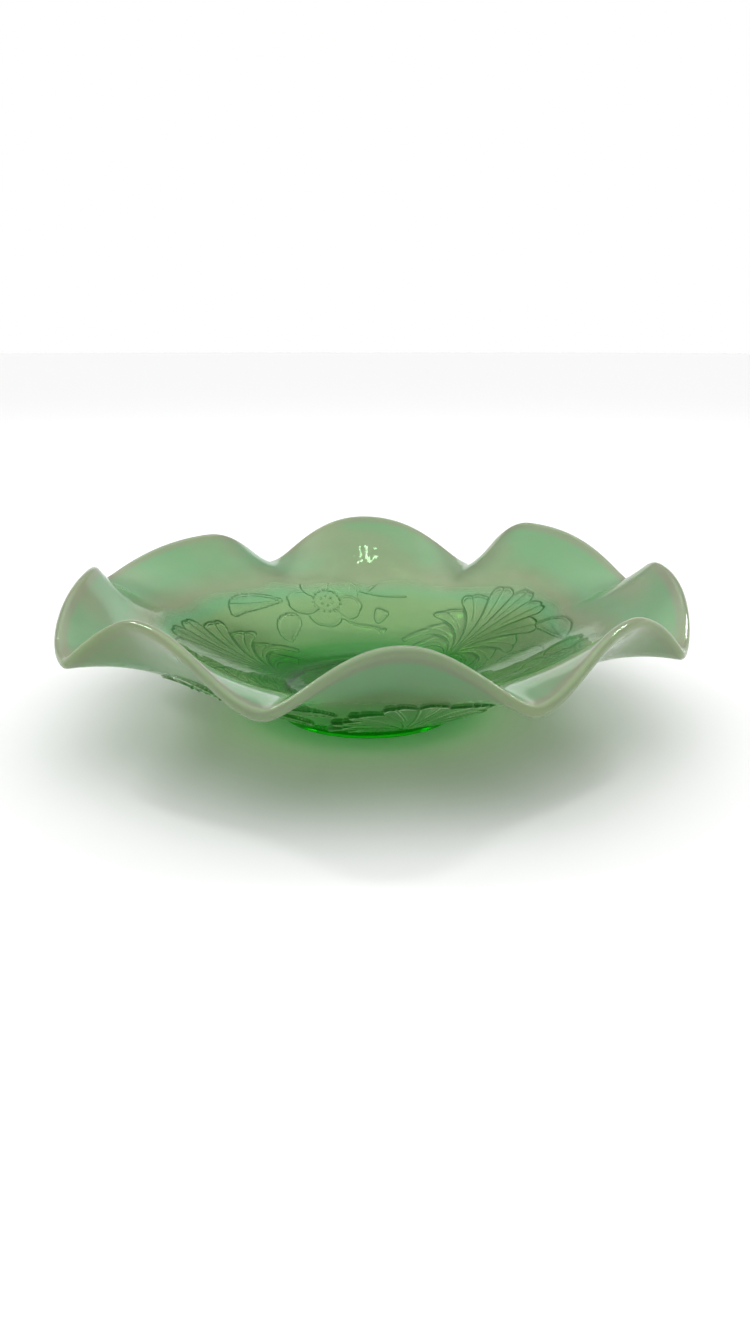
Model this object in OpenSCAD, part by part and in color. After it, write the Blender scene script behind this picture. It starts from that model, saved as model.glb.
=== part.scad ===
// Ruffled dish of green opalescent glass, pressed in one piece and crimped by hand at the rim.
// The origin is the centre of the foot on the resting plane, +Z is up and the front is -Y.
// The dish is a single pressing. Each node below is one zone or one raised motif of that pressing,
// and neighbouring zones meet face to face.
// The wall is described by its middle surface: wall_t runs from 0 at the foot to 1 at the rim,
// and phi is the angle round the dish, anticlockwise from +X.

/* [Foot] */
// Outside diameter of the foot ring
foot_d = 68; // [62:1:74]
// Width of the foot ring across its bearing face
foot_w = 5; // [4:0.5:7]
// Radius of the rounded edges of the foot ring
foot_round = 1; // [0.5:0.25:1.5]

/* [Wall] */
// Thickness of the glass at the rim
wall = 4; // [3:0.5:5]
// Extra thickness, on the inside, where the wall meets the foot
base_extra = 4; // [1:0.5:5]
// Height of the wall's middle surface where it leaves the foot
foot_z = 5; // [4:0.5:7]
// Mean diameter of the rim, to the middle of its thickness
rim_d = 218.6; // [200:1:236]
// Mean height of the rim, to the middle of its thickness
rim_z = 44; // [38:1:50]
// How far the wall's shallow S-curve leaves a straight cone
s_curve = 0.7; // [0:0.1:1.5]

/* [Crimps] */
// Height of the crests above the mean rim
crest_up = 7.5; // [3:0.5:9]
// Drop of the troughs below the mean rim
trough_down = 7.5; // [3:0.5:9]
// How far the crests stand in from the mean rim
crest_in = 2.5; // [0:0.5:5]
// How far the troughs stand out from the mean rim
trough_out = 2.5; // [0:0.5:5]
// Angle of the first crest, near the front
first_crest = 273; // [265:1:280]
// Part of the wall, from the foot up, that the crimps leave round
round_part = 0.4; // [0.3:0.05:0.5]
// How late the crimps grow towards the rim
crimp_growth = 2.7; // [2:0.1:3.5]
// Shape of the crimps: below 1 gives narrow troughs and broad crests
crimp_shape = 0.61; // [0.5:0.01:1]
// The same for the rim's outline seen from above
outline_shape = 0.8; // [0.5:0.05:1]
// How far the rounded bottom of a trough runs, as a share of the way to the crest
trough_round = 0.15; // [0.05:0.05:0.3]

/* [Relief] */
// Height of the raised motifs on the outside
relief = 0.9; // [0.5:0.1:1.2]
// Length of a palm frond from its base to its tip
frond_len = 46; // [40:1:48]
// Number of ribs across a palm frond
frond_ribs = 11; // [9:2:13]
// Angle of the first palm frond; the others follow at equal steps
first_frond = 45; // [40:1:50]
// Distance of a blossom's centre from the dish's axis
blossom_r = 71; // [68:1:73]
// Radius of a blossom over its petals
blossom_size = 16; // [14:1:17]
// Outer radius of the stippled band round the foot
stipple_r = 42; // [40:1:43]

/* [Hidden] */
$fn = 96;

// Each crimp was pulled by hand, so each has its own small shift: [degrees, radius, height]
crest_shift = [[2.5, -4.5, 0.5], [0.5, 0.5, 0], [4, 4, -0.5], [2.5, 5, 2.5],
               [-1.5, 6, 1], [-6, -0.5, -1.5], [-3.5, -5, 0], [0.5, -4, 1]];
trough_shift = [[-1.5, 4, 0], [-4.5, 1.5, -1.5], [-7, -1, 2.5], [-6, -4, -3.5],
                [-1, -2.5, -2.5], [2, -0.5, 3.5], [8, 1.5, 0.5], [5, 1, 0]];
crimps = len(crest_shift);
pitch = 360 / crimps;
foot_r = foot_d / 2;
rim_r = rim_d / 2;
half = wall / 2;

// The mould repeats three times: a palm frond, and half a step on a blossom spray
repeats = 3;
frond_base_r = stipple_r + 0.5;

// Shaping the hot glass drew the fronds askew: [degrees round the dish, lean, share of the length]
frond_shift = [[1, -15, 1.04], [-1, 18, 0.82], [0, 0, 1]];

// Middle surface of the wall
function crimp_amount(t) = t <= round_part ? 0 : pow((t - round_part) / (1 - round_part), crimp_growth);
function crimp_slope(t) = t <= round_part ? 0
    : crimp_growth / (1 - round_part) * pow((t - round_part) / (1 - round_part), crimp_growth - 1);
function base_r(t) = foot_r + (rim_r - foot_r) * t;
function base_z(t) = foot_z + (rim_z - foot_z) * t - s_curve * sin(360 * t);
function base_slope(t) = rim_z - foot_z - s_curve * 2 * PI * cos(360 * t);

// The rim's sixteen turning points, crest and trough by turns: [angle, radius, height]
function crest(k) = [first_crest + pitch * k, rim_r - crest_in, rim_z + crest_up] + crest_shift[k];
function trough(k) = [first_crest + pitch * (k + 0.5), rim_r + trough_out, rim_z - trough_down]
    + trough_shift[k];
turns = [for (k = [0:crimps - 1]) each [crest(k), trough(k)]];
function turn_at(i) = turns[i % len(turns)] + [360 * floor(i / len(turns)), 0, 0];

// Radius and height of the rim at an angle, eased between its two turning points
function past_first(phi) = let (a = turns[0][0]) phi - 360 * floor((phi - a) / 360);
function ease(s, shape) =
    let (low = pow(trough_round, 2 * shape), high = pow(1 + pow(trough_round, 2), shape))
    (1 - cos(180 * sqrt(max(0, pow(s * s + pow(trough_round, 2), shape) - low) / (high - low)))) / 2;
function eased(i, s, shape) = i % 2 == 0 ? 1 - ease(1 - s, shape) : ease(s, shape);
function rim_at(phi) =
    let (p = past_first(phi),
         i = max([for (k = [0:len(turns) - 1]) if (turns[k][0] <= p) k]),
         a = turn_at(i), b = turn_at(i + 1),
         s = (p - a[0]) / (b[0] - a[0]))
    [a[1] + (b[1] - a[1]) * eased(i, s, outline_shape), a[2] + (b[2] - a[2]) * eased(i, s, crimp_shape)];

// A point on or beside the wall in its own upright half-plane: off is measured towards the inside
function wall_rz(t, rim, off) =
    let (c = crimp_amount(t), dc = crimp_slope(t),
         dr = rim_r - foot_r + (rim[0] - rim_r) * dc,
         dz = base_slope(t) + (rim[1] - rim_z) * dc,
         l = norm([dr, dz]))
    [base_r(t) + (rim[0] - rim_r) * c - off * dz / l, base_z(t) + (rim[1] - rim_z) * c + off * dr / l];
function round_rz(t, off) = wall_rz(t, [rim_r, rim_z], off);
function inside(t) = half + base_extra * pow(1 - t, 2);
function turned(rz, phi) = [rz[0] * cos(phi), rz[0] * sin(phi), rz[1]];

// The floor's upper and lower faces meet the wall's first ring
floor_top = round_rz(0, inside(0));
floor_under = round_rz(0, -half);

// The round part of the wall is drawn with this many steps, the crimped part with these
round_steps = 8;
crimped_steps = 10;
crimped_turns = 120;
edge_steps = 4;

module foot_ring()
    color("#128a24")
        rotate_extrude()
            difference() {
                translate([foot_r - foot_w, 0]) square([foot_w, floor_under[1]]);
                foot_corner(foot_r - foot_round, 1);
                foot_corner(foot_r - foot_w + foot_round, -1);
            }

// What a rounded edge takes off the foot ring's section, on the outside (1) or the inside (-1)
module foot_corner(x, side)
    translate([x, foot_round])
        scale([side, 1])
            difference() {
                translate([0, -2 * foot_round]) square(2 * foot_round);
                circle(foot_round, $fn = 32);
            }

module well_floor()
    color("#5aa65a")
        rotate_extrude()
            polygon([[0, floor_under[1]], floor_under, floor_top, [0, floor_top[1]]]);

// A ring of the round wall between the foot and wall_t = end, from the depth under to the depth over
module wall_ring(end, under, over, steps)
    rotate_extrude()
        polygon(concat([for (k = [0:steps]) let (t = end * k / steps) round_rz(t, under)],
                       [for (k = [steps:-1:0]) let (t = end * k / steps) round_rz(t, over(t))]));

module stippled_band()
    color("#1f9a2c")
        wall_ring((stipple_r - foot_r) / (rim_r - foot_r), -half - relief / 2, function (t) -half, 3);

module lower_wall()
    color("#8fbe86")
        wall_ring(round_part, -half, function (t) inside(t), round_steps);

// One upright section of the crimped wall: up the outside, round the edge, down the inside
function crimped_section(phi) =
    let (rim = rim_at(phi), span = 1 - round_part,
         edge = wall_rz(1, rim, 0), lip = wall_rz(1, rim, half) - edge,
         along = [lip[1], -lip[0]])
    concat([for (k = [0:crimped_steps]) let (t = round_part + span * k / crimped_steps)
               turned(wall_rz(t, rim, -half), phi)],
           [for (k = [1:edge_steps - 1]) let (a = 180 * k / edge_steps)
               turned(edge - lip * cos(a) + along * sin(a), phi)],
           [for (k = [crimped_steps:-1:0]) let (t = round_part + span * k / crimped_steps)
               turned(wall_rz(t, rim, inside(t)), phi)]);

module ruffled_wall() {
    sections = [for (j = [0:crimped_turns - 1]) crimped_section(360 * j / crimped_turns)];
    m = len(sections[0]);
    n = crimped_turns;
    color("#a9cdae")
        polyhedron([for (s = sections) each s],
                   [for (j = [0:n - 1], i = [0:m - 1])
                       let (a = j * m, b = (j + 1) % n * m, i2 = (i + 1) % m)
                       each [[a + i, b + i2, b + i], [a + i, a + i2, b + i2]]]);
}

// A point on the outside of the wall above a place in plan, standing out by lift
function on_wall(xy, lift) =
    let (phi = atan2(xy[1], xy[0]), t = (norm(xy) - foot_r) / (rim_r - foot_r))
    turned(wall_rz(t, rim_at(phi), -half - lift), phi);

// A raised motif: rows of places in plan with their heights, closed by the wall's own surface
module motif(rows) {
    n = len(rows);
    m = len(rows[0]);
    all = n * m;
    top = [for (row = rows) for (p = row) on_wall([p[0], p[1]], p[2])];
    bottom = [for (row = rows) for (p = row) on_wall([p[0], p[1]], 0)];
    ring = concat([for (j = [0:m - 1]) j], [for (i = [1:n - 1]) i * m + m - 1],
                  [for (j = [m - 2:-1:0]) (n - 1) * m + j], [for (i = [n - 2:-1:1]) i * m]);
    polyhedron(concat(top, bottom),
               concat([for (i = [0:n - 2], j = [0:m - 2]) let (a = i * m + j, b = a + m)
                          each [[a, b, b + 1], [a, b + 1, a + 1]]],
                      [for (i = [0:n - 2], j = [0:m - 2]) let (a = all + i * m + j, b = a + m)
                          each [[a, b + 1, b], [a, a + 1, b + 1]]],
                      [for (k = [0:len(ring) - 1]) let (a = ring[k], b = ring[(k + 1) % len(ring)])
                          each [[a, b, all + b], [a, all + b, all + a]]]));
}

function plan(r, phi) = r * [cos(phi), sin(phi)];
function place(at, turn, x, y, h) =
    [each at + [x * cos(turn) - y * sin(turn), x * sin(turn) + y * cos(turn)], h];

// A palm frond spreads from its base as a fan of ribs with a scalloped edge
fan_half = 66;
fan_rows = 7;
function rib_wave(a) = cos(360 * frond_ribs * a / (2 * fan_half));
function frond_reach(a) = frond_len * pow(cos(a), 1.4) * (1 - 0.06 * rib_wave(a));
function frond_lift(s, a) = relief * (0.65 - 0.3 * rib_wave(a)) * (1 - 0.5 * s * s);
module palm_frond(i) {
    shift = frond_shift[i];
    phi = first_frond + 360 / repeats * i + shift[0];
    axis = phi + shift[1];
    at = plan(frond_base_r, phi);
    cols = 4 * frond_ribs;
    color("#4f9f4a")
        motif([for (k = [0:fan_rows])
                  let (s = 0.06 + 0.94 * k / fan_rows)
                  [for (j = [0:cols])
                      let (a = fan_half * (2 * j / cols - 1), reach = s * shift[2] * frond_reach(a))
                      place(at, axis, reach * cos(a), reach * sin(a), frond_lift(s, a))]]);
}

// A round blossom of five petals round a domed centre
petals = 5;
module blossom(at, turn) {
    cols = 8 * petals;
    motif([for (k = [0:4])
              let (s = 0.04 + 0.96 * k / 4)
              [for (j = [0:cols - 1])
                  let (a = 359.5 * j / (cols - 1), lobe = abs(sin(petals * a / 2)),
                       reach = s * blossom_size * (0.75 + 0.25 * pow(lobe, 0.6)))
                  place(at, turn, reach * cos(a), reach * sin(a), relief * (0.9 - 0.5 * s * (1 - 0.4 * lobe)))]]);
}

// A leaf with a raised midrib, from its stalk to its tip; blunt 1 is pointed and 0.5 is rounded
module leaf(from, to, width, blunt) {
    way = to - from;
    side = [-way[1], way[0]] / norm(way);
    cols = 8;
    motif([for (k = [0:10])
              let (s = 0.04 + 0.92 * k / 10, w = width / 2 * pow(sin(180 * s), blunt))
              [for (j = [0:cols])
                  let (v = 2 * j / cols - 1)
                  [each from + way * s + side * w * v, relief * (0.9 - 0.6 * abs(v))]]]);
}

// A curved stem between two places in plan, bent sideways by bend
module stem(from, to, bend) {
    way = to - from;
    side = [-way[1], way[0]] / norm(way);
    motif([for (k = [0:10])
              let (s = k / 10, mid = from + way * s + side * bend * sin(180 * s))
              [for (v = [-1, 0, 1]) [each mid + side * v * 0.6, relief * (v == 0 ? 0.8 : 0.3)]]]);
}

// A blossom with a heart-shaped leaf, a long blunt leaf, a bud and a stem
module blossom_spray(i) {
    phi = first_frond + 360 / repeats * (i + 0.5);
    color("#5fae5a") {
        blossom(plan(blossom_r, phi), phi + 164);
        leaf(plan(blossom_r - 4, phi + 17), plan(blossom_r - 20, phi + 23), 12, 0.8);
        leaf(plan(blossom_r + 3, phi + 16), plan(blossom_r + 5, phi + 36), 11, 0.5);
        leaf(plan(blossom_r - 6, phi - 16), plan(blossom_r - 7, phi - 24), 7, 0.6);
        stem(plan(blossom_r - 16, phi - 5), plan(blossom_r - 17, phi - 21), -1.5);
    }
}

foot_ring();
well_floor();
stippled_band();
lower_wall();
ruffled_wall();
palm_frond(0);  // palm_frond_1
palm_frond(1);  // palm_frond_2
palm_frond(2);  // palm_frond_3
blossom_spray(0);  // blossom_spray_1
blossom_spray(1);  // blossom_spray_2
blossom_spray(2);  // blossom_spray_3
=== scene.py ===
import math

import bpy
import numpy as np
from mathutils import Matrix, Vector


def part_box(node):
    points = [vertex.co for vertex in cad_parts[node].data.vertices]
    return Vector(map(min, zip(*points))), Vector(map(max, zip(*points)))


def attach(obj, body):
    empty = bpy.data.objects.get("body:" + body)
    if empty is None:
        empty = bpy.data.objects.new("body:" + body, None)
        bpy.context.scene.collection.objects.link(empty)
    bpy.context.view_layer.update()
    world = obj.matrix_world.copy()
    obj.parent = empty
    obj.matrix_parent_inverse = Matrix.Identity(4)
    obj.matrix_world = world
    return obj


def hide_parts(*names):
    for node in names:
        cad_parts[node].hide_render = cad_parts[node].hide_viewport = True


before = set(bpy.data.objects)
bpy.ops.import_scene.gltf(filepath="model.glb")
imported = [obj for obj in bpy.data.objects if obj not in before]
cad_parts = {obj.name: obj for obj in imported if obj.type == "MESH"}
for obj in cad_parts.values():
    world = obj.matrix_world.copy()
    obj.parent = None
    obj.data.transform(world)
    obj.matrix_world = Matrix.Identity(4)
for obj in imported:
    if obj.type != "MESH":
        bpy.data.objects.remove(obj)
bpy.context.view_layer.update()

# The dish is one pressing, so one closed mesh of glass stands for all of the CAD model's zones and
# motifs: glass shows every inner face, and separate solids would show seams that the dish hasn't got.
# Lengths are millimetres until pressed_dish() makes the mesh, and angles are degrees.
MM = 0.001

# --- The wall, as in the CAD model ---------------------------------------------------------------
_, foot_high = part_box("foot_ring")
FOOT_R = foot_high.x / MM
FOOT_TOP = foot_high.z / MM
FOOT_W = 5.0
FOOT_ROUND = 1.0
WALL = 4.0
BASE_EXTRA = 4.0
FOOT_Z = 5.0
RIM_R = 109.3
RIM_Z = 44.0
S_CURVE = 0.7
SPAN = RIM_R - FOOT_R

# The crimped rim: where its crests and troughs stand from the mean rim, as (radius, height)
CREST = (-2.5, 7.5)
TROUGH = (2.5, -7.5)
FIRST_CREST = 273
ROUND_PART = 0.4
CRIMP_GROWTH = 2.7
CRIMP_SHAPE = 0.61
OUTLINE_SHAPE = 0.8
TROUGH_ROUND = 0.15
# Each crimp was pulled by hand, so each has its own small shift, as (degrees, radius, height)
CREST_SHIFT = [(2.5, -4.5, 0.5), (0.5, 0.5, 0), (4, 4, -0.5), (2.5, 5, 2.5),
               (-1.5, 6, 1), (-6, -0.5, -1.5), (-3.5, -5, 0), (0.5, -4, 1)]
TROUGH_SHIFT = [(-1.5, 4, 0), (-4.5, 1.5, -1.5), (-7, -1, 2.5), (-6, -4, -3.5),
                (-1, -2.5, -2.5), (2, -0.5, 3.5), (8, 1.5, 0.5), (5, 1, 0)]
PITCH = 360 / len(CREST_SHIFT)

# --- The relief on the outside, in plan --------------------------------------------------------
# How often the sprays repeat round the dish, where one stands, and how far out the blossoms are
REPEATS = 3
SPRAY_AT = 105
BLOSSOM_R = 71.5
# Each frond's base, as angle and radius, its lean from the radius there and its size
FRONDS = [(45, 39.5, -14, 1.03), (158, 32.5, 24, 1.02), (285, 38, 0, 1.02)]

# The stippled band: from and to, distance between its rows, grains round each row and their height
STIPPLE_FROM = 35
STIPPLE_R = 42
STIPPLE_PITCH = 1.25
GRAINS = 180
GRAIN_HEIGHT = 0.3

# Direction and reach of a frond's plumes and of the notches between them, from its axis to one side
PLUMES = [(0, 45.5), (13.5, 44), (28.5, 39), (42, 31.5), (56, 24), (71, 17)]
NOTCHES = [(6.5, 39.5), (21, 37), (35.5, 31), (49.5, 24.5), (64, 18.5), (86, 12)]
# Widths of the grooves between plumes, of their ribs and of the painted shade of the curl beside a groove
GROOVE_W = 0.24
RIB_W = 0.28
CURL_SHADE_W = 0.7
# How much of a plume's height a groove and a rib take away, and how dark the painted shade along a rib is
GROOVE_CUT = 0.8
RIB_CUT = 0.45
RIB_SHADE = 0.45
# Where a rib lies across its plume, from -1 to 1, and the dent that it leaves in the plume's end
RIB_AT = 0.1
DENT = 0.8
DENT_W = 0.2
# A plume's height, how much it is domed, how far its end curls over, and its lip
PLUME_HEIGHT = 0.62
PLUME_DOME = 0.14
PLUME_CURL = 0.42
PLUME_LIP = 0.35
# How far along a plume the curl and the rib start, and where they are full
CURL_ALONG = (0.35, 0.95)
RIB_ALONG = (0.55, 0.7)

# Direction and reach of each petal, how wide the petals are, and the middle that they leave free
PETALS = [(18, 16), (92, 18), (164, 15.5), (238, 16), (300, 16.5)]
PETAL_HALF_WIDTH = 7.4
BLOSSOM_MIDDLE = 6
# Where a petal's own middle is and how long half of it is, as parts of its reach
PETAL_MIDDLE = 0.58
PETAL_HALF_LENGTH = 0.43
# Heights of a petal and of the blossom's middle, how much a petal tilts, and the notch in its end
PETAL_HEIGHT = 0.42
MIDDLE_HEIGHT = 0.25
PETAL_TILT = 0.025
PETAL_NOTCH = 0.1
PETAL_NOTCH_W = 1.6
# Rings of stamens: how many, how far from the middle, how high
STAMENS = [(16, 6, 0.55), (6, 2.6, 0.45)]
STAMEN_W = 0.55

# Outlines, veins and lines of the spray, as (outward, sideways) from the dish's axis
HEART_LEAF = [(64.5, 18), (63.5, 14.5), (59, 13.5), (54, 15.5), (50, 18), (46, 20.5),
              (49, 24.5), (55.5, 25.5), (61.5, 23)]
HEART_VEIN = [(63.5, 17.5), (47, 20.5)]
LONG_LEAF = [(71.5, 19), (67.5, 24.5), (63, 32), (60, 37), (55.5, 43), (62.5, 44.5),
             (69, 41), (72.5, 34), (73.5, 26)]
LONG_VEIN = [(71, 20), (63, 44)]
BUD = [(63.5, -20), (61.5, -23.5), (58.5, -25), (55.5, -22), (54.5, -18.5), (58, -17.5)]
HOOK = [(51, -18), (51, -21.5), (48.5, -20.5), (48.5, -18)]
STEM = [(63, -4.5), (58, -7.5), (55.5, -11), (53.5, -15.5), (51.5, -18.5)]
TENDRILS = [[(75.5, -11), (74.5, -15), (72.5, -18.5), (69.5, -23.5), (65, -34)],
            [(75.5, -11), (78.5, -12)], [(73, -18.5), (76, -23.5)],
            [(74, 17), (74.5, 12), (75, 6)]]
# Leaves with their veins and heights, smaller raised shapes with theirs, then height and width of lines
LEAVES = [(HEART_LEAF, HEART_VEIN, 0.5), (LONG_LEAF, LONG_VEIN, 0.45)]
BUDS = [(BUD, 0.55), (HOOK, 0.5)]
STEM_SIZE = (0.6, 0.6)
TENDRIL_SIZE = (0.45, 0.5)
# How deep a leaf's teeth are, and the depth and width of its vein
TEETH = 0.35
VEIN_CUT = 0.25
VEIN_W = 0.5
# A raised shape has a thin lip this far in from its edge, and this wide
LIP_IN = 1.0
LIP_W = 0.7

# --- The mesh ------------------------------------------------------------------------------------
# Vertices in a ring: over the relief, elsewhere, and nearer the axis than NEAR_AXIS
FINE = 1440
MEDIUM = FINE // 3
COARSE = MEDIUM // 3
NEAR_AXIS = 20
# How far up the wall the relief's rings go, and how many rings each part has
RELIEF_END = 0.79
RELIEF_ROWS = 180
PLAIN_ROWS = 18
INSIDE_ROWS = 62
# Degrees between the rings round a rounded corner of the foot and round the rim
ROUND_STEP = 18
EDGE_STEP = 15
# Roundings where the floor's underside meets the foot ring, and where the inside meets the floor
FOOT_CORNER = 0.6
FLOOR_BLEND = 1.0
# Radii of the rings under and over the floor
RINGS_UNDER = (6, 12, 18, 23, 27)
RINGS_OVER = (30, 28, 26, 23, 19, 14, 9, 4)

# How strongly painted shade darkens the relief's steep edges and painted glints lighten its crowns, and the
# (per millimetre) slopes and curvatures where each starts and is full
STEEP_PAINTED_SHADE = 0.95
PAINTED_GLINT_STRENGTH = 0.8
STEEP = (0.5, 1.3)
CURVED = (0.4, 1.6)


def smoothstep(low, high, x):
    """From 0 at low to 1 at high, with no corners."""
    s = np.clip((x - low) / (high - low), 0, 1)
    return s * s * (3 - 2 * s)


def bell(x, width):
    """1 in the middle, falling to 0 on both sides."""
    return np.exp(-(x / width) ** 2)


def rim_turns():
    """The rim's turning points, crest and trough by turns: angle, radius, height."""
    turns = []
    for k, (crest, trough) in enumerate(zip(CREST_SHIFT, TROUGH_SHIFT)):
        for step, mean, shift in ((k, CREST, crest), (k + 0.5, TROUGH, trough)):
            turns.append((FIRST_CREST + PITCH * step + shift[0],
                          RIM_R + mean[0] + shift[1], RIM_Z + mean[1] + shift[2]))
    first = turns[0]
    return np.array(turns + [(first[0] + 360, first[1], first[2])])


def eased(s, rising, shape):
    """From 0 to 1 between two turning points: narrow troughs with rounded bottoms, and broad crests."""
    from_trough = np.where(rising, s, 1 - s)
    low, high = TROUGH_ROUND ** (2 * shape), (1 + TROUGH_ROUND ** 2) ** shape
    way = np.sqrt(np.clip(((from_trough ** 2 + TROUGH_ROUND ** 2) ** shape - low) / (high - low), 0, 1))
    rise = (1 - np.cos(np.pi * way)) / 2
    return np.where(rising, rise, 1 - rise)


def rim_at(phi):
    """Radius and height of the middle of the rim."""
    turns = rim_turns()
    past = turns[0, 0] + (phi - turns[0, 0]) % 360
    i = np.clip(np.searchsorted(turns[:, 0], past, side="right") - 1, 0, len(turns) - 2)
    a, b = turns[i], turns[i + 1]
    s = np.clip((past - a[..., 0]) / (b[..., 0] - a[..., 0]), 0, 1)
    rising = i % 2 == 1
    return (a[..., 1] + (b[..., 1] - a[..., 1]) * eased(s, rising, OUTLINE_SHAPE),
            a[..., 2] + (b[..., 2] - a[..., 2]) * eased(s, rising, CRIMP_SHAPE))


def wall_point(t, phi, off):
    """Radius and height beside the wall's middle surface; t is 0 at the foot and 1 at the rim.

    The distance off it is measured towards the inside.
    """
    rim_r, rim_z = rim_at(phi)
    past = np.clip((t - ROUND_PART) / (1 - ROUND_PART), 0, None)
    crimp = past ** CRIMP_GROWTH
    crimp_slope = CRIMP_GROWTH / (1 - ROUND_PART) * past ** (CRIMP_GROWTH - 1)
    r = FOOT_R + SPAN * t + (rim_r - RIM_R) * crimp
    z = FOOT_Z + (RIM_Z - FOOT_Z) * t - S_CURVE * np.sin(2 * np.pi * t) + (rim_z - RIM_Z) * crimp
    dr = SPAN + (rim_r - RIM_R) * crimp_slope
    dz = (RIM_Z - FOOT_Z - S_CURVE * 2 * np.pi * np.cos(2 * np.pi * t)
          + (rim_z - RIM_Z) * crimp_slope)
    length = np.hypot(dr, dz)
    return r - off * dz / length, z + off * dr / length


def inside(t):
    """How far the inside stands off the wall's middle surface."""
    return WALL / 2 + BASE_EXTRA * (1 - t) ** 2


# --- Relief ----------------------------------------------------------------------------------------
def curve_through(points, closed, steps=6):
    """A smooth line through the points (Catmull-Rom)."""
    p = np.array(points, float)
    if closed:
        p = np.vstack([p[-1:], p, p[:2]])
    else:
        p = np.vstack([2 * p[:1] - p[1:2], p, 2 * p[-1:] - p[-2:-1]])
    out = []
    for a, b, c, d in zip(p, p[1:], p[2:], p[3:]):
        for s in np.arange(steps) / steps:
            out.append(0.5 * (2 * b + (c - a) * s + (2 * a - 5 * b + 4 * c - d) * s * s
                              + (3 * b - a - 3 * c + d) * s ** 3))
    if not closed:
        out.append(p[-2])
    return np.array(out)


def distance_to(x, y, line, closed=False):
    """Distance from each place to a line."""
    ends = np.roll(line, -1, axis=0) if closed else line[1:]
    starts = line if closed else line[:-1]
    best = np.full(x.shape, 1e9)
    for a, b in zip(starts, ends):
        way = b - a
        s = np.clip(((x - a[0]) * way[0] + (y - a[1]) * way[1]) / (way @ way), 0, 1)
        best = np.minimum(best, np.hypot(x - a[0] - s * way[0], y - a[1] - s * way[1]))
    return best


def depth_inside(x, y, loop):
    """Distance in from a closed outline, below 0 outside it."""
    within = np.zeros(x.shape, bool)
    for a, b in zip(loop, np.roll(loop, -1, axis=0)):
        crosses = (a[1] > y) != (b[1] > y)
        rise = b[1] - a[1] if b[1] != a[1] else 1e-9
        within ^= crosses & (x < (b[0] - a[0]) * (y - a[1]) / rise + a[0])
    return np.where(within, 1, -1) * distance_to(x, y, loop, closed=True)


def plateau(depth, height, edge=0.7, lip=0.3):
    """A low raised shape with a steep edge and a thin lip along it."""
    return smoothstep(0, edge, depth) * (height + lip * bell(depth - LIP_IN, LIP_W))


def frond(x, y):
    """Height of a palm frond whose base is the origin and whose axis is +x, and how strong the painted shade
    is along its grooves, ribs and curls.
    """
    y = np.abs(y)
    reach = np.hypot(x, y) + 1e-6
    # Plumes and grooves curve along circles through the base, each circle a level of this bend
    bend = 2 * y / reach ** 2
    levels = [2 * math.sin(math.radians(angle)) / length for angle, length in NOTCHES]
    levels = [-levels[0]] + levels
    ends = [NOTCHES[0][1]] + [length for _, length in NOTCHES]
    height, painted_crease_shade = np.zeros(x.shape), np.zeros(x.shape)
    for k, (_, tip) in enumerate(PLUMES):
        low, high = levels[k], levels[k + 1]
        across = (2 * bend - high - low) / (high - low)
        here = (np.abs(across) <= 1) & (x > -2)
        notch = ends[k] + (ends[k + 1] - ends[k]) * (across + 1) / 2
        edge = notch + (tip - notch) * np.sqrt(np.clip(1 - across ** 2, 0, 1))
        edge -= DENT * bell(across - RIB_AT, DENT_W)
        half = (high - low) / 4 * reach ** 2
        along = reach / edge
        # The plumes further from the axis curl over more
        roll = smoothstep(*CURL_ALONG, along) * min(k, 3) / 3
        groove = bell((1 - np.abs(across)) * half, GROOVE_W * (1 + roll))
        rib = bell((across - RIB_AT) * half, RIB_W) * smoothstep(*RIB_ALONG, along)
        depth = edge - reach
        lip = PLUME_LIP * bell(depth - LIP_IN, LIP_W)
        dome = PLUME_HEIGHT + PLUME_DOME * (1 - across ** 2) + PLUME_CURL * roll * across + lip
        shape = dome * (1 - GROOVE_CUT * groove) * (1 - RIB_CUT * rib) * smoothstep(0, 0.8, depth)
        shape *= smoothstep(1, 8, reach)
        height = np.where(here, np.maximum(height, shape), height)
        # Painted shade: a dark crescent beside the groove where a plume curls over, dark lines along the
        # grooves and a fainter one along the rib
        curl_shade = roll * bell((1 + across) * half - 0.3, CURL_SHADE_W)
        painted_light = np.maximum(groove, curl_shade) * smoothstep(-0.4, 0.4, depth)
        painted_light = np.maximum(painted_light, RIB_SHADE * rib * (depth > 0))
        painted_crease_shade = np.where(here, np.maximum(painted_crease_shade, painted_light * smoothstep(1, 16, reach)), painted_crease_shade)
    return height, painted_crease_shade


def blossom(x, y):
    """A five-petalled blossom round a ring of stamens, centred on the origin."""
    reach, around = np.hypot(x, y), np.degrees(np.arctan2(y, x))
    height = np.zeros(x.shape)
    for angle, size in PETALS:
        turn = math.radians(angle)
        along = x * math.cos(turn) + y * math.sin(turn)
        across = -x * math.sin(turn) + y * math.cos(turn)
        middle, half_length = size * PETAL_MIDDLE, size * PETAL_HALF_LENGTH
        notch = PETAL_NOTCH * bell(across, PETAL_NOTCH_W) * smoothstep(0.6, 1, along / size)
        # A petal is an ellipse, and 7 turns its levels into about millimetres
        depth = (1 - np.hypot((along - middle) / half_length, across / PETAL_HALF_WIDTH) - notch) * 7
        height = np.maximum(height, plateau(depth, PETAL_HEIGHT + PETAL_TILT * across))
    raised = (reach < 20) & ((height > 0) | (reach < BLOSSOM_MIDDLE))
    height = np.maximum(height * smoothstep(4.5, 6.5, reach), MIDDLE_HEIGHT) * raised
    for count, radius, high in STAMENS:
        from_dot = ((around * count / 360 + 0.5) % 1 - 0.5) * 2
        height += high * bell(reach - radius, STAMEN_W) * bell(from_dot, STAMEN_W)
    return height


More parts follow.
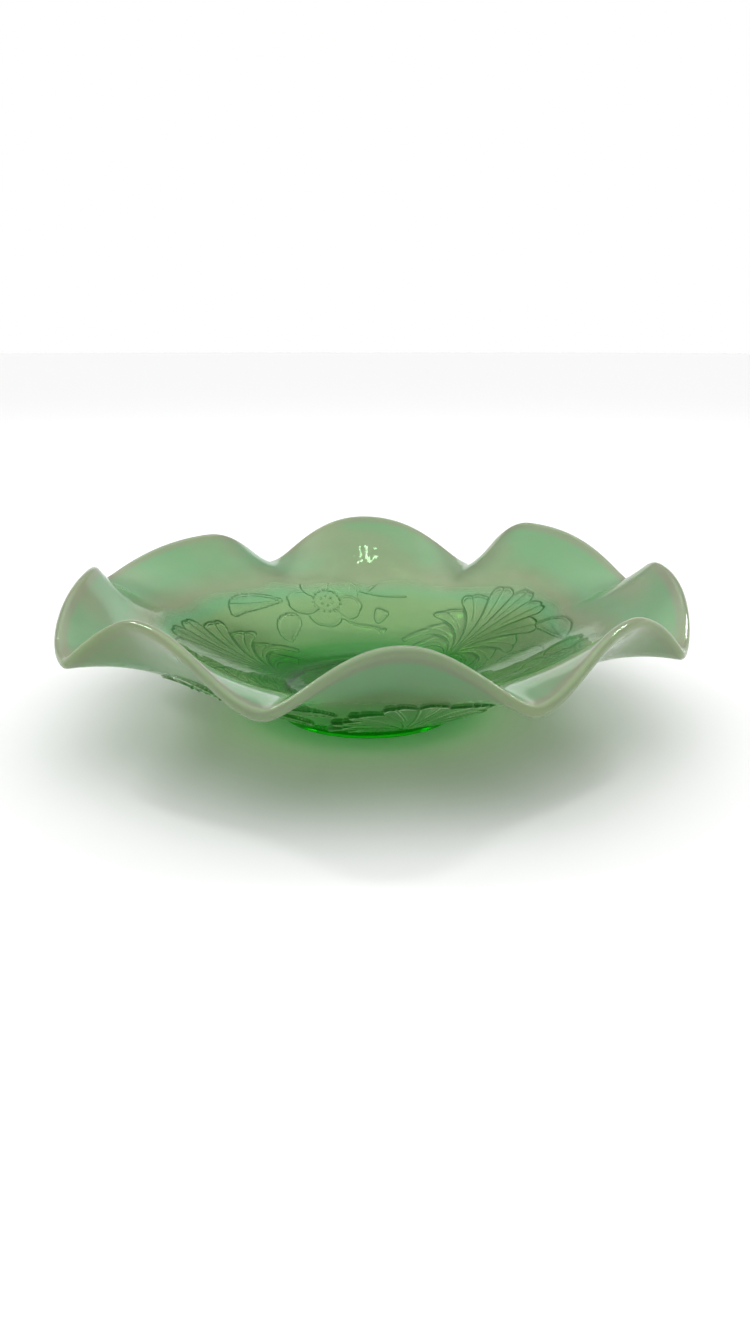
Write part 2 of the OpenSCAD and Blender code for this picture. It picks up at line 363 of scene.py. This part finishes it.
def spray(u, v):
    """A blossom with its leaves, bud and stem; u is outward along the spray's radius and v is sideways."""
    height = blossom(u - BLOSSOM_R, v)
    teeth = TEETH * np.sin(2.4 * (u + v)) * np.sin(2.1 * (u - v))
    for outline, line, high in LEAVES:
        depth = depth_inside(u, v, curve_through(outline, True)) + teeth
        vein = bell(distance_to(u, v, np.array(line)), VEIN_W)
        height = np.maximum(height, plateau(depth, high) - VEIN_CUT * vein * (depth > 1))
    for outline, high in BUDS:
        height = np.maximum(height, plateau(depth_inside(u, v, curve_through(outline, True)), high))
    lines = [(curve_through(STEM, False), STEM_SIZE)]
    lines += [(np.array(line, float), TENDRIL_SIZE) for line in TENDRILS]
    for line, (high, width) in lines:
        height = np.maximum(height, high * bell(distance_to(u, v, line), width))
    return height


def stipple(r, phi):
    """Rows of small round grains on the band round the foot."""
    rows = 2 * math.pi / STIPPLE_PITCH
    lattice = np.cos(rows * r) + np.cos(np.radians(GRAINS * phi)) * np.cos(rows * r / 2)
    band = smoothstep(STIPPLE_FROM - 0.4, STIPPLE_FROM + 0.4, r)
    band *= smoothstep(STIPPLE_R + 0.5, STIPPLE_R - 0.5, r)
    return GRAIN_HEIGHT * np.clip(lattice, 0, None) * band


def relief(r, phi):
    """Height of the relief, and how strong the painted shade is along each frond's grooves, ribs and curls.
    """
    step = 360 / REPEATS
    from_spray = np.radians((phi - SPRAY_AT + step / 2) % step - step / 2)
    height = np.maximum(stipple(r, phi), spray(r * np.cos(from_spray), r * np.sin(from_spray)))
    painted_crease_shade = np.zeros(height.shape)
    for at, base, lean, size in FRONDS:
        turned = np.radians(phi - at)
        x, y = r * np.cos(turned) - base, r * np.sin(turned)
        cos, sin = math.cos(math.radians(lean)), math.sin(math.radians(lean))
        high, frond_shade = frond((x * cos + y * sin) / size, (y * cos - x * sin) / size)
        height, painted_crease_shade = np.maximum(height, high), np.maximum(painted_crease_shade, frond_shade)
    return height, painted_crease_shade


def relief_painted_light(height, painted_crease_shade, radii):
    """Painted light on the relief: below 0 where a crown gets a painted highlight, and up to 1 where a
    groove, rib, curl or steep edge gets painted shade.
    """
    step = radii[:, None] * math.radians(360 / height.shape[1])
    outward = np.gradient(height, radii, axis=0)
    around = (np.roll(height, -1, axis=1) - np.roll(height, 1, axis=1)) / (2 * step)
    bend_outward = np.gradient(outward, radii, axis=0)
    bend_around = (np.roll(height, -1, axis=1) - 2 * height + np.roll(height, 1, axis=1)) / step ** 2
    painted_shade = np.maximum(painted_crease_shade, STEEP_PAINTED_SHADE * smoothstep(*STEEP, np.hypot(outward, around)))
    painted_glint = smoothstep(*CURVED, -bend_outward - bend_around)
    return painted_shade - PAINTED_GLINT_STRENGTH * painted_glint * (1 - painted_shade)


# --- The pressing --------------------------------------------------------------------------------
def angles(count):
    """Angles of a ring's vertices."""
    return 360 * np.arange(count) / count


def ring(r, z, count, reach=0.0, painted_light=0.0):
    """One ring of vertices: x, y, z, reach and painted light (the relief's painted shade and painted
    highlights) in each row.
    """
    phi = np.radians(angles(count))
    return np.stack([r * np.cos(phi), r * np.sin(phi)] + [a + 0 * phi for a in (z, reach, painted_light)], axis=1)


def underside_rings():
    """From the middle of the underside, round the foot ring, to the wall."""
    inner = FOOT_R - FOOT_W
    profile = [(r, FOOT_TOP) for r in RINGS_UNDER]
    for a in range(90, -1, -ROUND_STEP):
        profile.append((inner - FOOT_CORNER + FOOT_CORNER * math.cos(math.radians(a)),
                        FOOT_TOP - FOOT_CORNER + FOOT_CORNER * math.sin(math.radians(a))))
    for centre, start in ((inner + FOOT_ROUND, 180), (FOOT_R - FOOT_ROUND, 270)):
        for a in range(start, start + 91, ROUND_STEP):
            profile.append((centre + FOOT_ROUND * math.cos(math.radians(a)),
                            FOOT_ROUND + FOOT_ROUND * math.sin(math.radians(a))))
    # A small fillet where the foot ring meets the wall
    profile.append((FOOT_R, FOOT_TOP - 0.9))
    profile.append((FOOT_R + 0.15, FOOT_TOP - 0.4))
    return [ring(r, z, COARSE if r < NEAR_AXIS else MEDIUM) for r, z in profile]


def outside_rings():
    """Up the outside: the relief in fine rings, then plain glass to the rim."""
    rings = []
    phi = angles(FINE)
    reaches = np.linspace(0, RELIEF_END, RELIEF_ROWS)
    radii = FOOT_R + SPAN * reaches
    height, painted_crease_shade = relief(*np.meshgrid(radii, phi, indexing="ij"))
    # Each fine ring also carries the relief's painted shade and painted glints
    for t, row, painted_row in zip(reaches, height, relief_painted_light(height, painted_crease_shade, radii)):
        r, z = wall_point(t, phi, -WALL / 2 - row)
        rings.append(ring(r, z, FINE, t, painted_row))
    for t in np.linspace(RELIEF_END, 1, PLAIN_ROWS)[1:]:
        r, z = wall_point(t, angles(MEDIUM), -WALL / 2)
        rings.append(ring(r, z, MEDIUM, t))
    return rings


def edge_rings():
    """Round the fire-polished rim."""
    phi = angles(MEDIUM)
    r, z = wall_point(1.0, phi, 0)
    lip_r, lip_z = (a - b for a, b in zip(wall_point(1.0, phi, WALL / 2), (r, z)))
    rings = []
    for a in np.radians(np.arange(EDGE_STEP, 180, EDGE_STEP)):
        rings.append(ring(r - lip_r * np.cos(a) + lip_z * np.sin(a),
                          z - lip_z * np.cos(a) - lip_r * np.sin(a), MEDIUM, 1.0))
    return rings


def inside_rings():
    """Down the inside, blended into the flat floor, to its middle."""
    rings = []
    phi = angles(MEDIUM)
    floor_r, floor_z = (float(a[0]) for a in wall_point(0.0, phi[:1], inside(0.0)))
    start_r, start_z = (float(a[0]) for a in wall_point(0.02, phi[:1], inside(0.02)))
    # Further in, the wall's line is carried on at its first slope, and on_floor() lifts it to the floor
    slope = (start_z - floor_z) / (start_r - floor_r)

    def on_floor(z):
        """The height z, but never below the floor, and rounded where the two meet."""
        return (z + floor_z + np.sqrt((z - floor_z) ** 2 + FLOOR_BLEND)) / 2

    for t in np.linspace(1, 0, INSIDE_ROWS):
        r, z = wall_point(t, phi, inside(t))
        rings.append(ring(r, np.where(t < ROUND_PART, on_floor(z), z), MEDIUM, t))
    for r in RINGS_OVER:
        rings.append(ring(r, on_floor(floor_z + slope * (r - floor_r)), COARSE if r < NEAR_AXIS else MEDIUM))
    return rings


def between(low, low_start, high, high_start):
    """Faces between two rings that follow each other; one may have three times as many vertices."""
    if low == high:
        return [(low_start + j, low_start + (j + 1) % low, high_start + (j + 1) % high, high_start + j)
                for j in range(low)]
    faces = []
    flip = low > high
    few, few_start, many_start = (high, high_start, low_start) if flip else (low, low_start, high_start)
    many = 3 * few
    for j in range(few):
        a, b = few_start + j, few_start + (j + 1) % few
        m = [many_start + (3 * j + i) % many for i in range(4)]
        for face in ((a, m[1], m[0]), (a, b, m[2], m[1]), (b, m[3], m[2])):
            faces.append(face[::-1] if flip else face)
    return faces


def pressed_dish():
    """The whole dish as one closed mesh, ring by ring from the middle underneath to the middle inside."""
    rings = underside_rings() + outside_rings() + edge_rings() + inside_rings()
    middle_under = np.array([[0, 0, rings[0][0, 2], 0, 0]])
    middle_over = np.array([[0, 0, rings[-1][0, 2], 0, 0]])
    data = np.vstack([middle_under] + rings + [middle_over])
    start = 1
    first = len(rings[0])
    faces = [(0, start + (j + 1) % first, start + j) for j in range(first)]
    for low, high in zip(rings, rings[1:]):
        faces += between(len(low), start, len(high), start + len(low))
        start += len(low)
    last, top = len(rings[-1]), len(data) - 1
    faces += [(top, start + j, start + (j + 1) % last) for j in range(last)]
    mesh = bpy.data.meshes.new("pressed_dish")
    mesh.from_pydata((data[:, :3] * MM).tolist(), [], faces)
    # The relief's painted shade and painted glints go to the mesh as a vertex attribute, beside the reach
    for column, name in ((3, "reach"), (4, "painted_light")):
        layer = mesh.attributes.new(name, "FLOAT", "POINT")
        layer.data.foreach_set("value", data[:, column].astype(np.float32))
    mesh.shade_smooth()
    mesh.validate()
    mesh.update()
    dish = bpy.data.objects.new("pressed_dish", mesh)
    bpy.context.scene.collection.objects.link(dish)
    return dish


# --- Materials -------------------------------------------------------------------------------------
# Colour of the glass at each reach: deep green at the foot, clear green, a teal stage where it starts
# to turn, a pinkish one, mint, and a greyish edge
GLASS = [(0.0, (8, 140, 6)), (0.11, (35, 155, 25)), (0.18, (150, 175, 122)), (0.27, (146, 161, 120)),
         (0.4, (134, 147, 110)), (0.5, (130, 143, 108)), (0.57, (113, 152, 121)), (0.67, (152, 147, 129)),
         (0.8, (132, 165, 133)), (0.965, (132, 162, 132)), (0.985, (150, 148, 134))]
# Pinkish patches in the milk, painted shade for the relief's creases and steep edges, and painted glints on
# its crowns
PATCHES = (158, 154, 134)
PAINTED_SHADE_COLOUR = (4, 52, 6)
PAINTED_GLINT_COLOUR = (238, 250, 220)
# How fine the noises are for drifting colour, pinkish patches, uneven gloss and an uneven surface
DRIFT_SCALE = 22
PATCH_SCALE = 17
GLOSS_SCALE = 60
BUMP_SCALE = 70
# Each of these is a smooth step: from, to, value up to from, value past to.
# By reach: where the colour starts and stops drifting, and where the pinkish patches start
DRIFT_STARTS = (0.3, 0.6, 0, 0.3)
DRIFT_STOPS = (0.8, 0.93, 1, 0)
PATCHES_START = (0.45, 0.7, 0, 1)
# By reach: how clear the glass is, and a faint milkiness that starts early
CLEARNESS = (0.5, 0.95, 0.98, 0.3)
FAINT_MILK = (0.12, 0.3, 0, 0.03)
# By the painted light: how clear a crown is, lowered where it has a painted glint so that its whitish colour
# shows. By noise: how strong the patches are, and the roughness
PAINTED_GLINT_CLEARNESS = (-0.8, -0.1, 0.35, 1)
PATCH_STRENGTH = (0.5, 0.66, 0, 0.7)
ROUGHNESS = (0.3, 0.7, 0.008, 0.03)
# What is the same all over the dish. The green Specular Tint is a painted reflection: it tints the glass's
# reflections green as if green shade lay round the dish. The faint green emission is a painted glow
BUMP = {"Strength": 0.1, "Distance": 0.002}
SHADER = {"IOR": 1.5, "Specular Tint": (0.3, 0.9, 0.3, 1),
          "Emission Color": (0.03, 1.0, 0.02, 1), "Emission Strength": 0.028,
          "Subsurface Weight": 1.0, "Subsurface Radius": (0.6, 1.0, 0.6), "Subsurface Scale": 0.006}
ABSORPTION = {"Color": (0.08, 0.8, 0.02, 1), "Density": 40}


def srgb(r, g, b):
    """A colour given as it is seen, 0 to 255, as the shader's linear values."""
    def linear(c):
        c /= 255
        return c / 12.92 if c <= 0.04045 else ((c + 0.055) / 1.055) ** 2.4
    return (linear(r), linear(g), linear(b), 1)


def set_inputs(node, values):
    """Gives a node's unlinked inputs their values."""
    for name, value in values.items():
        node.inputs[name].default_value = value


def ramp(nodes, links, source, stops):
    """A colour that changes with the source, through the stops."""
    node = nodes.new("ShaderNodeValToRGB")
    links.new(source, node.inputs["Fac"])
    elements = node.color_ramp.elements
    while len(elements) < len(stops):
        elements.new(1)
    for element, (at, colour) in zip(elements, stops):
        element.position, element.color = at, colour
    return node.outputs["Color"]


def math_node(nodes, links, operation, *values):
    node = nodes.new("ShaderNodeMath")
    node.operation = operation
    for socket, value in zip(node.inputs, values):
        if isinstance(value, (int, float)):
            socket.default_value = value
        else:
            links.new(value, socket)
    return node.outputs[0]


def mix(nodes, links, blend, factor, colour, other):
    """One colour blended with a constant one."""
    node = nodes.new("ShaderNodeMix")
    node.data_type, node.blend_type = "RGBA", blend
    colours = [socket for socket in node.inputs if socket.type == "RGBA"]
    links.new(factor, node.inputs["Factor"])
    links.new(colour, colours[0])
    colours[1].default_value = other
    return next(socket for socket in node.outputs if socket.type == "RGBA")


def attribute(nodes, name):
    node = nodes.new("ShaderNodeAttribute")
    node.attribute_name = name
    return node.outputs["Fac"]


def noise(nodes, links, coords, scale):
    node = nodes.new("ShaderNodeTexNoise")
    node.inputs["Scale"].default_value = scale
    links.new(coords, node.inputs["Vector"])
    return node.outputs["Fac"]


def map_range(nodes, links, value, low, high, to_low, to_high):
    """A smooth step from one value to another."""
    node = nodes.new("ShaderNodeMapRange")
    node.interpolation_type = "SMOOTHSTEP"
    links.new(value, node.inputs["Value"])
    for name, number in (("From Min", low), ("From Max", high), ("To Min", to_low), ("To Max", to_high)):
        node.inputs[name].default_value = number
    return node.outputs["Result"]


def opalescent_glass():
    """Green glass that turns milky towards the reheated rim."""
    material = bpy.data.materials.new("opalescent_green_glass")
    material.use_nodes = True
    nodes, links = material.node_tree.nodes, material.node_tree.links
    shader = nodes["Principled BSDF"]
    coords = nodes.new("ShaderNodeTexCoord").outputs["Object"]
    reach = attribute(nodes, "reach")
    painted_light = attribute(nodes, "painted_light")
    cloud = math_node(nodes, links, "SUBTRACT", noise(nodes, links, coords, DRIFT_SCALE), 0.5)
    drift = math_node(nodes, links, "MULTIPLY", map_range(nodes, links, reach, *DRIFT_STARTS),
                      map_range(nodes, links, reach, *DRIFT_STOPS))
    shifted = math_node(nodes, links, "ADD", reach, math_node(nodes, links, "MULTIPLY", cloud, drift))
    colour = ramp(nodes, links, shifted, [(at, srgb(*seen)) for at, seen in GLASS])
    patchy = map_range(nodes, links, noise(nodes, links, coords, PATCH_SCALE), *PATCH_STRENGTH)
    patches = math_node(nodes, links, "MULTIPLY", patchy, map_range(nodes, links, reach, *PATCHES_START))
    colour = mix(nodes, links, "MIX", patches, colour, srgb(*PATCHES))
    # Painted shade: the relief's creases and steep edges are multiplied towards dark green
    colour = mix(nodes, links, "MULTIPLY", painted_light, colour, srgb(*PAINTED_SHADE_COLOUR))
    # Painted glints: the relief's crowns are blended towards near white
    painted_glint = math_node(nodes, links, "MULTIPLY", painted_light, -1)
    links.new(mix(nodes, links, "MIX", painted_glint, colour, srgb(*PAINTED_GLINT_COLOUR)), shader.inputs["Base Color"])
    clear = math_node(nodes, links, "SUBTRACT", map_range(nodes, links, shifted, *CLEARNESS),
                      map_range(nodes, links, reach, *FAINT_MILK))
    # Painted glints: the crowns are made less clear, so their near-white colour shows
    clear = math_node(nodes, links, "MULTIPLY", clear, map_range(nodes, links, painted_light, *PAINTED_GLINT_CLEARNESS))
    links.new(clear, shader.inputs["Transmission Weight"])
    gloss = noise(nodes, links, coords, GLOSS_SCALE)
    links.new(map_range(nodes, links, gloss, *ROUGHNESS), shader.inputs["Roughness"])
    bump = nodes.new("ShaderNodeBump")
    set_inputs(bump, BUMP)
    links.new(noise(nodes, links, coords, BUMP_SCALE), bump.inputs["Height"])
    links.new(bump.outputs["Normal"], shader.inputs["Normal"])
    set_inputs(shader, SHADER)
    absorb = nodes.new("ShaderNodeVolumeAbsorption")
    set_inputs(absorb, ABSORPTION)
    links.new(absorb.outputs["Volume"], nodes["Material Output"].inputs["Volume"])
    return material


def pale_floor():
    """A matt, nearly white floor."""
    material = bpy.data.materials.new("pale_floor")
    material.use_nodes = True
    set_inputs(material.node_tree.nodes["Principled BSDF"],
               {"Base Color": (0.82, 0.82, 0.82, 1), "Roughness": 0.9})
    return material


# --- Studio ------------------------------------------------------------------------------------------
FLOOR_RINGS = (0.3, 1.0, 3.0, 9.0)
FLOOR_SIDES = 64
# How bright it is overhead, and how each height of the sky compares: a white backdrop, a dimmer room
# and soft light from above
OVERHEAD = 2.0
SKY = [(0.0, 0.5), (0.27, 0.5), (0.33, 0.18), (0.62, 0.18), (0.85, 1.0)]
# Where the lamps point
BACK_CREST = (0, 0.09, 0.04)
MIDDLE = (0, 0, 0.03)
# The camera's place, how far it looks down, and its lens
EYE = (0.0026, -0.380, 0.1352)
LOOK_DOWN = 17.4
LENS = 28.5


def floor(material):
    """A wide round floor under the dish."""
    count = FLOOR_SIDES
    turns = [2 * math.pi * j / count for j in range(count)]
    points = [(0, 0, 0)]
    for r in FLOOR_RINGS:
        points += [(r * math.cos(turn), r * math.sin(turn), 0) for turn in turns]
    faces = [(0, 1 + j, 1 + (j + 1) % count) for j in range(count)]
    for i in range(len(FLOOR_RINGS) - 1):
        faces += between(count, 1 + i * count, count, 1 + (i + 1) * count)
    mesh = bpy.data.meshes.new("floor")
    mesh.from_pydata(points, [], faces)
    mesh.materials.append(material)
    stage = bpy.data.objects.new("floor", mesh)
    bpy.context.scene.collection.objects.link(stage)


def softbox(name, at, towards, width, depth, watts):
    """A rectangular lamp, turned towards a point."""
    light = bpy.data.lights.new(name, "AREA")
    light.shape, light.size, light.size_y, light.energy = "RECTANGLE", width, depth, watts
    lamp = bpy.data.objects.new(name, light)
    lamp.location = at
    lamp.rotation_euler = (Vector(towards) - Vector(at)).to_track_quat("-Z", "Y").to_euler()
    bpy.context.scene.collection.objects.link(lamp)


def sky():
    """Soft light from overhead, and a white backdrop."""
    world = bpy.data.worlds.new("sky")
    world.use_nodes = True
    nodes, links = world.node_tree.nodes, world.node_tree.links
    split = nodes.new("ShaderNodeSeparateXYZ")
    links.new(nodes.new("ShaderNodeTexCoord").outputs["Generated"], split.inputs["Vector"])
    glow = ramp(nodes, links, split.outputs["Z"], [(at, (level, level, level, 1)) for at, level in SKY])
    links.new(glow, nodes["Background"].inputs["Color"])
    nodes["Background"].inputs["Strength"].default_value = OVERHEAD
    bpy.context.scene.world = world


def studio():
    """The sky, the floor and two pairs of windows, one of them small and overhead."""
    sky()
    floor(pale_floor())
    for side in (-1, 1):
        softbox("pane", (side * 0.013, 0.355, 1.21), BACK_CREST, width=0.011, depth=0.028, watts=0.02)
        softbox("window", (side * 0.8, 0.5, 0.9), MIDDLE, width=0.12, depth=0.3, watts=3)
    bpy.context.scene.view_settings.view_transform = "Standard"


def camera():
    """A phone's lens close to the dish, a little above it."""
    data = bpy.data.cameras.new("camera")
    data.sensor_width = 36
    data.lens = LENS
    eye = bpy.data.objects.new("camera", data)
    eye.location = EYE
    eye.rotation_euler = (math.radians(90 - LOOK_DOWN), 0, 0)
    data.clip_start = 0.01
    bpy.context.scene.collection.objects.link(eye)
    bpy.context.scene.camera = eye


camera()
studio()
dish = pressed_dish()
dish.data.materials.append(opalescent_glass())
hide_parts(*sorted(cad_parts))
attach(dish, "root")
